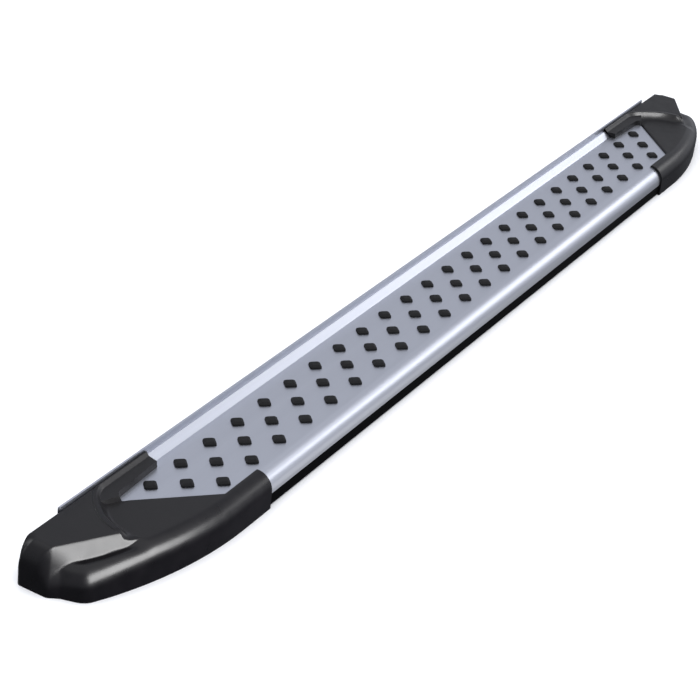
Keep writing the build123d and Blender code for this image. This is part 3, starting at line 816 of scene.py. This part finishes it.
# %% The stud tree
def stud_tree(stud_object):
    """Node group: studs along a line on top of a strip."""
    tree = bpy.data.node_groups.new("stud_row", "GeometryNodeTree")
    face = tree.interface
    face.new_socket("Geometry", in_out="OUTPUT", socket_type="NodeSocketGeometry")
    for name, kind in (("Count", "NodeSocketInt"), ("Pitch", "NodeSocketFloat"),
                       ("Row Y", "NodeSocketFloat"), ("Strip End", "NodeSocketFloat")):
        face.new_socket(name, in_out="INPUT", socket_type=kind)
    given = add(tree, "NodeGroupInput", {}).outputs

    gaps = add(tree, "ShaderNodeMath", {0: given["Count"], 1: 1.0}, operation="SUBTRACT")
    run = add(tree, "ShaderNodeMath", {0: gaps.outputs[0], 1: given["Pitch"]}, operation="MULTIPLY")
    half = add(tree, "ShaderNodeMath", {0: run.outputs[0], 1: 0.5}, operation="MULTIPLY")
    start = add(tree, "ShaderNodeMath", {0: half.outputs[0], 1: -1.0}, operation="MULTIPLY")
    reach = add(tree, "ShaderNodeMath", {0: half.outputs[0], 1: given["Strip End"]}, operation="ADD")
    length = add(tree, "ShaderNodeMath", {0: reach.outputs[0], 1: 2.0}, operation="MULTIPLY")
    first = add(tree, "ShaderNodeCombineXYZ", {"X": start.outputs[0], "Y": given["Row Y"]})
    step = add(tree, "ShaderNodeCombineXYZ", {"X": given["Pitch"]})
    line = add(tree, "GeometryNodeMeshLine", {"Count": given["Count"], "Start Location": first.outputs[0],
                                              "Offset": step.outputs[0]}, mode="OFFSET")
    stud = add(tree, "GeometryNodeObjectInfo", {"Object": stud_object})
    copies = add(tree, "GeometryNodeInstanceOnPoints", {"Points": line.outputs["Mesh"],
                                                        "Instance": stud.outputs["Geometry"]})
    size = add(tree, "ShaderNodeCombineXYZ", {"X": length.outputs[0], "Y": STRIP_WIDTH * MM,
                                              "Z": (STRIP_TOP - STRIP_BOTTOM) * MM})
    block = add(tree, "GeometryNodeMeshCube", {"Size": size.outputs[0], "Vertices X": STRIP_STEPS})
    centre = add(tree, "ShaderNodeCombineXYZ", {"Y": given["Row Y"],
                                                "Z": (STRIP_TOP + STRIP_BOTTOM) / 2 * MM})
    strip = add(tree, "GeometryNodeTransform", {"Geometry": block.outputs["Mesh"],
                                                "Translation": centre.outputs[0]})
    both = tree.nodes.new("GeometryNodeJoinGeometry")
    tree.links.new(copies.outputs["Instances"], both.inputs[0])
    tree.links.new(strip.outputs["Geometry"], both.inputs[0])
    real = add(tree, "GeometryNodeRealizeInstances", {"Geometry": both.outputs[0]})
    painted = add(tree, "GeometryNodeSetMaterial", {"Geometry": real.outputs[0],
                                                    "Material": finishes["stud_rubber"]})
    add(tree, "NodeGroupOutput", {"Geometry": painted.outputs[0]})
    return tree


studs = stud_tree(stud_model)
keys = {item.name: item.identifier for item in studs.interface.items_tree if item.in_out == "INPUT"}
for name, row_y, count in ROWS:
    holder = bpy.data.objects.new("row", bpy.data.meshes.new("row"))
    modifier = holder.modifiers.new("studs", "NODES")
    modifier.node_group = studs
    for key, value in (("Count", count), ("Pitch", PITCH * MM), ("Row Y", row_y * MM),
                       ("Strip End", STRIP_END * MM)):
        modifier[keys[key]] = value
    bpy.context.scene.collection.objects.link(holder)
    shape = bpy.data.meshes.new_from_object(holder.evaluated_get(bpy.context.evaluated_depsgraph_get()))
    bpy.data.objects.remove(holder)
    mesh = joined([shape], f"rubber_studs_{name}")
    smooth_by_angle(mesh, STUD_CREASE)
    new_piece(mesh, "stud_rubber", f"stud_strip_{name}")
    print(mesh.name, count, "studs,", len(mesh.polygons), "faces")
bpy.data.objects.remove(stud_model)

# %% [markdown]
# ## Light and floor
# Metal and gloss show the lights themselves, so the lights are shapes first and brightness
# second.  A deep black wall, a bright facet beside it and an even floor ask for different
# light, so some boxes are linked to the pieces that need them.  That suits this view best, and
# other views show the two caps lit unequally.  The floor stays out of reflections, and the
# room is dim under the horizon, so the black walls stay black.

# %% Floor and room
BOARD_MIDDLE, RIGHT_CAP = (0, 0, 0.03), (0.82, 0, 0.05)
FLOOR_HALF, HORIZON_LOW, HORIZON_HIGH, ROOM_STRENGTH = 30, -0.25, 0.05, 0.84


def floor():
    """Wide pale floor that fills the picture."""
    mesh = bpy.data.meshes.new("floor")
    corners = [(x * FLOOR_HALF, y * FLOOR_HALF, 0) for x, y in ((-1, -1), (1, -1), (1, 1), (-1, 1))]
    mesh.from_pydata(corners, [], [(0, 1, 2, 3)])
    plane = bpy.data.objects.new("floor", mesh)
    bpy.context.scene.collection.objects.link(plane)
    mesh.materials.append(new_material("studio_floor_pale", Base_Color=colour("#F7F7F7"),
                                       Roughness=0.95, Specular_IOR_Level=0.0)[0])
    plane.visible_glossy = False
    plane.visible_shadow = False
    return plane


def room(above, below):
    """World that is pale overhead and dim under the horizon."""
    sky = bpy.data.worlds.new("studio_room")
    sky.use_nodes = True
    tree = sky.node_tree
    place = add(tree, "ShaderNodeTexCoord", {})
    split = add(tree, "ShaderNodeSeparateXYZ", {"Vector": place.outputs["Generated"]})
    ease = add(tree, "ShaderNodeMapRange", {"Value": split.outputs["Z"], "From Min": HORIZON_LOW,
                                            "From Max": HORIZON_HIGH})
    shade = add(tree, "ShaderNodeMix", {"Factor": ease.outputs["Result"], "A": colour(below),
                                        "B": colour(above)}, data_type="RGBA")
    back = tree.nodes["Background"]
    feed(tree, back.inputs["Color"], shade.outputs["Result"])
    feed(tree, back.inputs["Strength"], ROOM_STRENGTH)
    return sky


ground = floor()
bpy.context.scene.world = room("#E6E9F2", "#6E7076")
bpy.context.scene.view_settings.view_transform = "Standard"
print("floor", 2 * FLOOR_HALF, "metres wide")

# %% [markdown]
# Each box below has a place, a size, a power and what it faces.  The last two columns say
# which pieces it reaches, or which it leaves out; a box with no pieces reaches everything.

# %% Lights
right_cap, left_cap = (bpy.data.objects[f"moulded_cap_{side}"] for side in ("right", "left"))
shell = nodes["deck_shell"]
LIGHTS = (
    ("near_side_box", (-0.75, -2.9, 1.75), (3.7, 2.2), 610, BOARD_MIDDLE, "INCLUDE", left_cap),
    ("arch_box", (0.35, -1.6, 2.4), (2.6, 0.6), 140, RIGHT_CAP, "INCLUDE", right_cap),
    ("nose_box", (-1.0, -2.6, 1.5), (5.0, 2.0), 60, BOARD_MIDDLE, "INCLUDE", shell),
    ("low_box", (0, -1.6, -0.9), (5.0, 1.4), 20, BOARD_MIDDLE, "INCLUDE", shell),
    ("far_side_box", (4.3, -2.4, 2.3), (3.4, 1.6), 46, BOARD_MIDDLE, "EXCLUDE", ground),
    ("rear_box", (-1.5, 3.6, 1.2), (4.5, 1.6), 30, BOARD_MIDDLE, "EXCLUDE", ground),
    ("floor_box", (0, 0, 6.0), (9.0, 9.0), 260, BOARD_MIDDLE, "INCLUDE", ground),
    ("top_box", (-0.5, -0.2, 4.2), (6.5, 5.0), 90, BOARD_MIDDLE, None, None),
)


def softbox(name, place, size, watts, toward):
    """Rectangular area light, turned to face a place."""
    light = bpy.data.lights.new(name, "AREA")
    light.shape = "RECTANGLE"
    light.size, light.size_y = size
    light.energy = watts
    lamp = bpy.data.objects.new(name, light)
    turn = (Vector(toward) - Vector(place)).to_track_quat("-Z", "Y").to_matrix().to_4x4()
    lamp.matrix_world = Matrix.Translation(place) @ turn
    bpy.context.scene.collection.objects.link(lamp)
    return lamp


for name, place, size, watts, toward, state, piece in LIGHTS:
    lamp = softbox(name, place, size, watts, toward)
    if piece:
        group = bpy.data.collections.new(f"{name}_reach")
        group.objects.link(piece)
        group.collection_objects[0].light_linking.link_state = state
        lamp.light_linking.receiver_collection = group
print(len(LIGHTS), "soft boxes")
